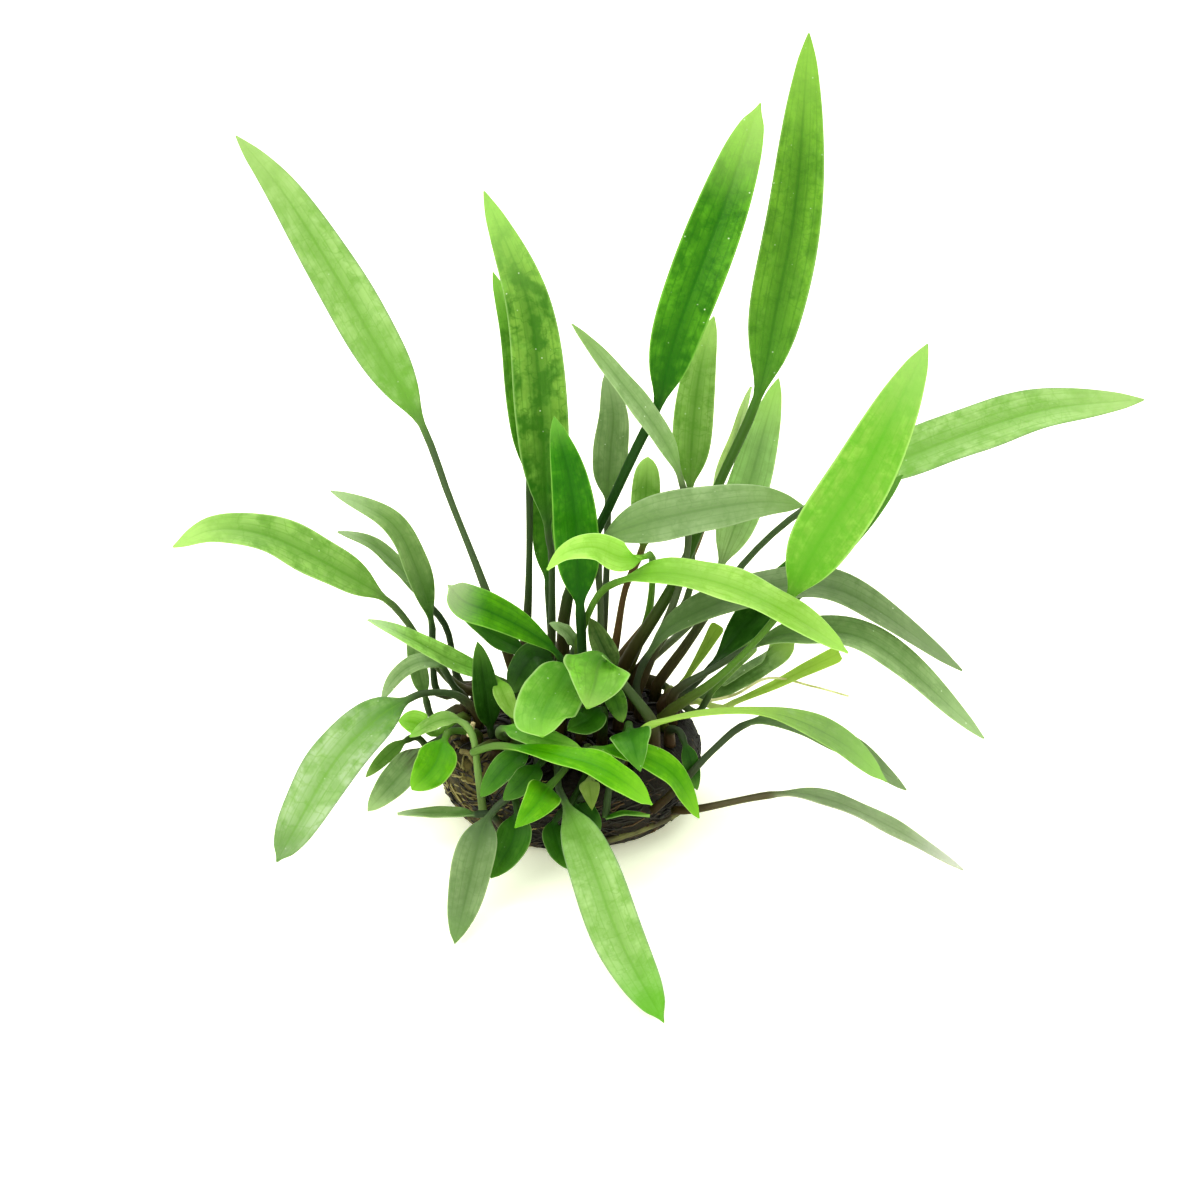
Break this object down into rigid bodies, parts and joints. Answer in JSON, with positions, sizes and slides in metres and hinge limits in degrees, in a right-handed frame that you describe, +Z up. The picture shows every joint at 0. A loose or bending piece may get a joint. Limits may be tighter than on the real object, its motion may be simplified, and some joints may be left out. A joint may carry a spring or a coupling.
{
  "type": "cryptocoryne",
  "caption": "Clump of narrow-leaved cryptocoryne: upright, arching and drooping strap-shaped green leaves on thin stalks from a low round brown root plug.",
  "frame": {"origin": "middle of the root plug's flat underside, where the plant rests", "axes": "+Z up, +X towards the plant's right as the front is seen, -Y towards the front"},
  "size_m": [0.1772, 0.1134, 0.1374],
  "materials": {
    "lime_leaf": "satin",
    "green_leaf": "satin",
    "pale_leaf": "satin",
    "grey_green_leaf": "satin",
    "dark_leaf": "satin",
    "olive_leaf": "satin",
    "root_wool": "matte"
  },
  "bodies": {
    "root": {"leaf_right_broad": "lime_leaf", "leaf_bright_arch": "lime_leaf", "leaf_folded_lime": "lime_leaf", "leaf_strip_behind": "lime_leaf", "leaf_left_slender": "lime_leaf", "leaf_left_bright_oval": "lime_leaf", "leaf_left_lime_round": "lime_leaf", "leaf_front_bright_arch": "lime_leaf", "leaf_front_right_arch": "lime_leaf", "leaf_front_heart": "lime_leaf", "leaf_front_rounded": "lime_leaf", "leaf_front_folded": "lime_leaf", "leaf_right_narrow_lime": "lime_leaf", "leaf_right_pair_front": "lime_leaf", "leaf_left_drooping": "lime_leaf", "leaf_bent_stalk": "lime_leaf", "leaf_right_tallest": "green_leaf", "leaf_second_tallest": "green_leaf", "leaf_middle_upright": "green_leaf", "leaf_inner_tall": "green_leaf", "leaf_green_behind": "green_leaf", "leaf_small_behind": "green_leaf", "leaf_left_curved": "green_leaf", "leaf_left_wide": "green_leaf", "leaf_left_beneath": "green_leaf", "leaf_left_level": "green_leaf", "leaf_front_wet": "green_leaf", "leaf_front_small_left": "green_leaf", "leaf_front_small_right": "green_leaf", "leaf_front_under": "green_leaf", "leaf_left_tall": "pale_leaf", "leaf_far_right": "pale_leaf", "leaf_pale_behind": "pale_leaf", "leaf_slanting": "pale_leaf", "leaf_front_long": "pale_leaf", "leaf_level_middle": "grey_green_leaf", "leaf_grey_behind": "grey_green_leaf", "leaf_long_grey_arch": "grey_green_leaf", "leaf_left_grey_arch": "grey_green_leaf", "leaf_left_strip": "grey_green_leaf", "leaf_speckled_grey": "grey_green_leaf", "leaf_front_left_grey": "grey_green_leaf", "leaf_right_lower_arch": "grey_green_leaf", "leaf_far_right_low": "grey_green_leaf", "leaf_front_notched": "grey_green_leaf", "leaf_inner_tall_behind": "dark_leaf", "leaf_slim_behind": "dark_leaf", "leaf_right_broad_behind": "dark_leaf", "leaf_short_dark": "dark_leaf", "leaf_wet_curl": "dark_leaf", "leaf_left_dark": "dark_leaf", "leaf_small_upright": "dark_leaf", "leaf_left_low": "dark_leaf", "leaf_front_low_dark": "dark_leaf", "leaf_front_hidden": "dark_leaf", "leaf_right_pair_back": "dark_leaf", "leaf_right_dark_broad": "dark_leaf", "leaf_right_olive": "olive_leaf", "leaf_right_narrow_olive": "olive_leaf", "root_plug": "root_wool"}
  },
  "joints": []
}
